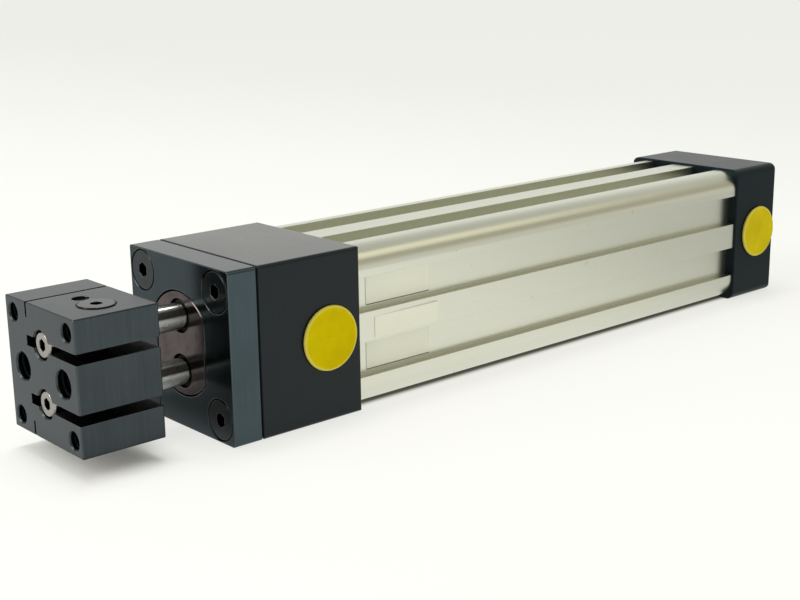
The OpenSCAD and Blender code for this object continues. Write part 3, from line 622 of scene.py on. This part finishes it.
def stage_floor():
    """Bright paper that the heads stand on.

    It glows for the camera, less so under the block, with painted shade a little darker far
    behind, and has a painted contact shadow under the barrel. In reflections it carries
    painted shade: darker under the block and the barrel, and towards the rear on the ports'
    side, with painted light further out on that side.
    """
    mesh = bmesh.new()
    bmesh.ops.create_circle(mesh, cap_ends=True, radius=FLOOR_R, segments=96)
    bmesh.ops.translate(mesh, vec=(0, 0, PLATE_LOW.z), verts=mesh.verts)
    data = bpy.data.meshes.new("floor")
    mesh.to_mesh(data)
    mesh.free()
    made = bpy.data.objects.new("floor", data)
    bpy.context.scene.collection.objects.link(made)

    material = bpy.data.materials.new("floor_paper")
    material.use_nodes = True
    shader = Shader(material.node_tree)
    shader.tree.nodes.clear()
    path = shader.node("LightPath")
    camera, glossy, through = [
        shader.value(path.outputs[f"Is {ray} Ray"]) for ray in ("Camera", "Glossy", "Transmission")
    ]
    mirrored = (glossy + through).clamped()
    x, y, _ = shader.split(shader.node("TexCoord").outputs["Object"])
    from_axis = y.math("ABSOLUTE")
    away = ((x * x + y * y) ** 0.5).step(0.3, 1.5)
    middle = (BLOCK_LOW + BLOCK_HIGH) / 2
    half = (BLOCK_HIGH - BLOCK_LOW) / 2
    past_x = (x - middle.x).math("ABSOLUTE") - half.x
    past_block = past_x.math("MAXIMUM", from_axis - half.y)
    ports_side = y.step(-0.02, 0.03)
    rearward = 1 - x.step(-0.36, -0.12)
    outward = y.step(0.09, 0.15)
    behind = 1 - x.step(-0.80, 0.0)
    under_block = (1 - past_block.step(4 * MM, 24 * MM)) * (1 - x.step(40 * MM, 56 * MM))
    past_rear = x.step(TUBE_LOW.x - 3 * MM, TUBE_LOW.x)
    along_tube = past_rear * (1 - x.step(TUBE_HIGH.x, TUBE_HIGH.x + 3 * MM))
    under_tube = (1 - from_axis.step(19 * MM, 23 * MM)) * along_tube
    tube_shade = (1 - from_axis.step(12 * MM, 20 * MM)) * along_tube
    # Painted contact shadow: the paper turns dark under the barrel.
    paper = shader.node("BsdfDiffuse", Color=shader.blend(under_tube * 0.85, PAPER, CONTACT_SHADOW))
    open_glow = away * 0.15 + past_block.step(-6 * MM, 8 * MM) * 0.60 + 0.10
    glow = camera * open_glow * (1 - under_tube) + mirrored * 0.85
    # Painted shade and light: in reflections darker under the block, the barrel and towards the rear on the
    # ports' side, lighter further out on it; for the camera a little darker far behind.
    side_tone = ports_side * (0.12 - rearward * 0.58 + outward * 0.16)
    mirror_tone = 0.98 + side_tone - under_block * 0.75 - tube_shade * 0.7
    tone = camera * (1 - behind * 0.10) + mirrored * mirror_tone.clamped(0.0, 2.0)
    white = shader.node("Emission", Color=(1.0, 1.0, 0.965, 1), Strength=tone)
    mix = shader.node("MixShader", Fac=glow, i1=paper.outputs[0], i2=white.outputs[0])
    shader.node("OutputMaterial", Surface=mix.outputs[0])
    data.materials.append(material)


def studio_world():
    """White for the camera; pale behind the object, dimmer and warmer on the ports' side."""
    world = bpy.data.worlds.new("studio")
    bpy.context.scene.world = world
    world.use_nodes = True
    shader = Shader(world.node_tree)
    shader.tree.nodes.clear()
    _, y, z = shader.split(shader.node("TexCoord").outputs["Generated"])
    backdrop = shader.node("ValToRGB", {"stops": [
        (0.0, (0.95, 0.95, 0.91)), (0.45, (0.95, 0.95, 0.91)),
        (0.7, (0.58, 0.58, 0.56)), (1.0, (0.58, 0.58, 0.56)),
    ]}, Fac=z)
    room = shader.node("ValToRGB", {"stops": [
        (0.0, (0.95, 0.93, 0.86)), (0.10, (0.80, 0.77, 0.68)), (0.26, (0.46, 0.42, 0.335)),
        (0.42, (0.52, 0.49, 0.42)), (0.62, (0.56, 0.56, 0.50)), (1.0, (0.55, 0.55, 0.51)),
    ]}, Fac=z)
    sky = shader.blend(y.step(-0.25, 0.25), backdrop.outputs[0], room.outputs[0])
    seen = shader.value(shader.node("LightPath").outputs["Is Camera Ray"])
    colour = shader.blend(seen, sky, (1, 1, 0.975, 1))
    ground = shader.node("Background", Color=colour, Strength=1.0)
    shader.node("OutputWorld", Surface=ground.outputs[0])


def softbox(name, place, target, size, watts, colour, along=(1, 0, 0)):
    """An area lamp at a place, aimed at a target, with its first side towards a direction."""
    light = bpy.data.lights.new(name, "AREA")
    light.shape = "RECTANGLE"
    light.size, light.size_y = size
    light.energy = watts
    light.color = colour
    made = bpy.data.objects.new(name, light)
    back = (Vector(place) - Vector(target)).normalized()
    up = back.cross(along).normalized()
    turn = Matrix((up.cross(back), up, back)).transposed().to_4x4()
    made.matrix_world = Matrix.Translation(place) @ turn
    bpy.context.scene.collection.objects.link(made)


CAMERA_PLACE = Vector((0.20295, 0.32679, 0.11166))
CAMERA_TARGET = Vector((-0.08455, 0.0, -0.00262))
CAMERA_ROLL = math.radians(-0.78)
CAMERA_LENS = 61.66
CAMERA_SENSOR = 36


def three_quarter_camera():
    """Camera off the front corner on the ports' side, a little above the top."""
    data = bpy.data.cameras.new("camera")
    data.lens = CAMERA_LENS
    data.sensor_width = CAMERA_SENSOR
    data.clip_start = 0.01
    made = bpy.data.objects.new("camera", data)
    level = (CAMERA_TARGET - CAMERA_PLACE).to_track_quat("-Z", "Y").to_matrix().to_4x4()
    roll = Matrix.Rotation(CAMERA_ROLL, 4, "Z")
    made.matrix_world = Matrix.Translation(CAMERA_PLACE) @ level @ roll
    bpy.context.scene.collection.objects.link(made)
    bpy.context.scene.camera = made


stage_floor()
studio_world()
FRONT = Vector((0, 0, 0))
MIDDLE = Vector((-0.08, 0, 0))
GLAND_RIM = Vector((-0.17, -0.41, 0.12))    # the way the strip lies to light the gland's rim
softbox("key", (1.05, -0.40, 0.50), FRONT, (0.6, 0.6), 6.0, (1.0, 0.99, 0.97))
softbox("overhead", (-0.10, -0.15, 1.10), MIDDLE, (0.5, 0.25), 4.6, (1.0, 1.0, 0.99))
softbox("strip", (0.70, -0.07, 0.70), FRONT, (0.50, 0.05), 1.2, (0.96, 1.0, 0.98), GLAND_RIM)
softbox("warm_side", (-0.80, 0.55, 0.82), MIDDLE, (0.45, 0.45), 0.54, (1.0, 0.90, 0.66))
three_quarter_camera()
bpy.context.scene.view_settings.view_transform = "Standard"
